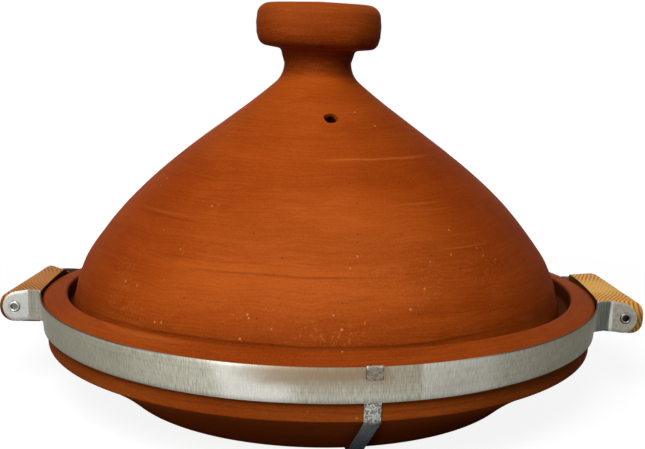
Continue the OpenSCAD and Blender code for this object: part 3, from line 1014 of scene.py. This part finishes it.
for side_x, left_right in ((LEFT, "left"), (RIGHT, "right")):
    for side_y, front_rear in ((FRONT, "front"), (REAR, "rear")):
        where = f"{left_right}_{front_rear}"
        rivet(f"{where}_hollow_rivet", f"{where}_rivet", side_x, side_y)


# Floor, light and camera

WHITE = (1, 1, 1, 1)
FLOOR_HALF = 3
FLOOR_DROP = 0.2 * MM
AMBIENT = 0.055
LAMP_TARGET = (0, 0, 0.1)
CAMERA_PLACE = (0, -0.6827, 0.2321)
CAMERA_TURN = -0.126
CAMERA_DOWN = 10.42
CAMERA_ROLL = 0.95
CAMERA_LENS = 57.1
CAMERA_SENSOR = 36


def seen_ray(finish):
    """1 for rays that show the background: from the camera, in a reflection or through glass."""
    rays = [finish.node("ShaderNodeLightPath", output=kind)
            for kind in ("Is Camera Ray", "Is Glossy Ray", "Is Transmission Ray")]
    return rays[0].larger(rays[1]).larger(rays[2])


def pale_floor(name):
    """A floor that is white to the camera; in a reflection it shows a painted pool of light at the front
    left and a painted shadow round the foot.

    It throws little light back, and seen from below it isn't there."""
    paint = Finish(name)
    x, y, _ = paint.parts(paint.place())
    straight = paint.node("ShaderNodeLightPath", output="Is Camera Ray")
    from_foot = (x * x + y * y) ** 0.5
    # In reflections: a painted pool of light at the front left and a painted shadow round the foot. To the
    # camera it glows a little less near the foot, so that the object's shadow shows.
    from_light_pool = ((x + 0.28) * (x + 0.28) + (y + 0.75) * (y + 0.75)) ** 0.5
    mirrored = (1.3 - from_light_pool * 1.15).larger(0.2) * from_foot.rise(0.16, 0.3)
    shown = straight * (0.89 + from_foot.rise(0.25, 1.1) * 0.11) + (1 - straight) * mirrored
    glow = paint.node("ShaderNodeEmission", sockets={"Color": shown, "Strength": 1.0})
    lit = paint.node("ShaderNodeBsdfDiffuse", sockets={"Color": (0.2, 0.2, 0.2, 1)})
    bright = paint.node("ShaderNodeAddShader", sockets=[glow, lit])
    bounce = paint.node("ShaderNodeBsdfDiffuse", sockets={"Color": (0.1, 0.1, 0.1, 1)})
    top_side = paint.node("ShaderNodeMixShader", sockets=[seen_ray(paint), bounce, bright])
    under_side = paint.node("ShaderNodeBsdfTransparent")
    from_below = paint.node("ShaderNodeNewGeometry", output="Backfacing")
    return paint.end_with(
        paint.node("ShaderNodeMixShader", sockets=[from_below, top_side, under_side]), "Material Output")


def plain_room(name):
    """A world that is white where it is seen and a faint even light elsewhere."""
    room = Finish(name, "worlds")
    white = room.node("ShaderNodeBackground", sockets={"Color": WHITE, "Strength": 1.0})
    ambient = room.node("ShaderNodeBackground", sockets={"Color": (1, 0.98, 0.95, 1), "Strength": AMBIENT})
    return room.end_with(
        room.node("ShaderNodeMixShader", sockets=[seen_ray(room), ambient, white]), "World Output")


bm = bmesh.new()
bmesh.ops.create_grid(bm, x_segments=8, y_segments=8, size=FLOOR_HALF)
floor_mesh = bpy.data.meshes.new("floor")
bm.to_mesh(floor_mesh)
bm.free()
floor_mesh.materials.append(pale_floor("floor_paint"))
floor = bpy.data.objects.new("floor", floor_mesh)
floor.location.z = -FLOOR_DROP
bpy.context.scene.collection.objects.link(floor)
bpy.context.scene.world = plain_room("room")


def lamp(name, turn, height, distance, size, power, mirrored=True):
    """A soft square lamp aimed at the object. Turn goes from the front towards +X; angles are in degrees."""
    data = bpy.data.lights.new(name, "AREA")
    data.shape = "SQUARE"
    data.size = size
    data.energy = power
    turn, height = math.radians(turn), math.radians(height)
    away = Vector((math.sin(turn) * math.cos(height), -math.cos(turn) * math.cos(height), math.sin(height)))
    aim = away.to_track_quat("Z", "Y").to_matrix().to_4x4()
    made = bpy.data.objects.new(name, data)
    made.visible_glossy = mirrored
    made.matrix_world = Matrix.Translation(Vector(LAMP_TARGET) + away * distance) @ aim
    bpy.context.scene.collection.objects.link(made)


lamp("key", turn=-14, height=43, distance=0.98, size=0.5, power=8.1)
lamp("side", turn=-28, height=0, distance=1.35, size=0.3, power=2.4)
lamp("rear_right", turn=158, height=8, distance=1.4, size=0.8, power=4, mirrored=False)
lamp("rear_left", turn=-160, height=8, distance=1.4, size=0.8, power=4, mirrored=False)

camera_data = bpy.data.cameras.new("camera")
camera_data.sensor_fit = "HORIZONTAL"
camera_data.sensor_width = CAMERA_SENSOR
camera_data.lens = CAMERA_LENS
camera = bpy.data.objects.new("camera", camera_data)
camera.matrix_world = (
    Matrix.Translation(CAMERA_PLACE)
    @ Matrix.Rotation(math.radians(CAMERA_TURN), 4, "Z")
    @ Matrix.Rotation(math.radians(90 - CAMERA_DOWN), 4, "X")
    @ Matrix.Rotation(math.radians(CAMERA_ROLL), 4, "Z"))
bpy.context.scene.collection.objects.link(camera)
bpy.context.scene.camera = camera
bpy.context.scene.view_settings.view_transform = "Standard"
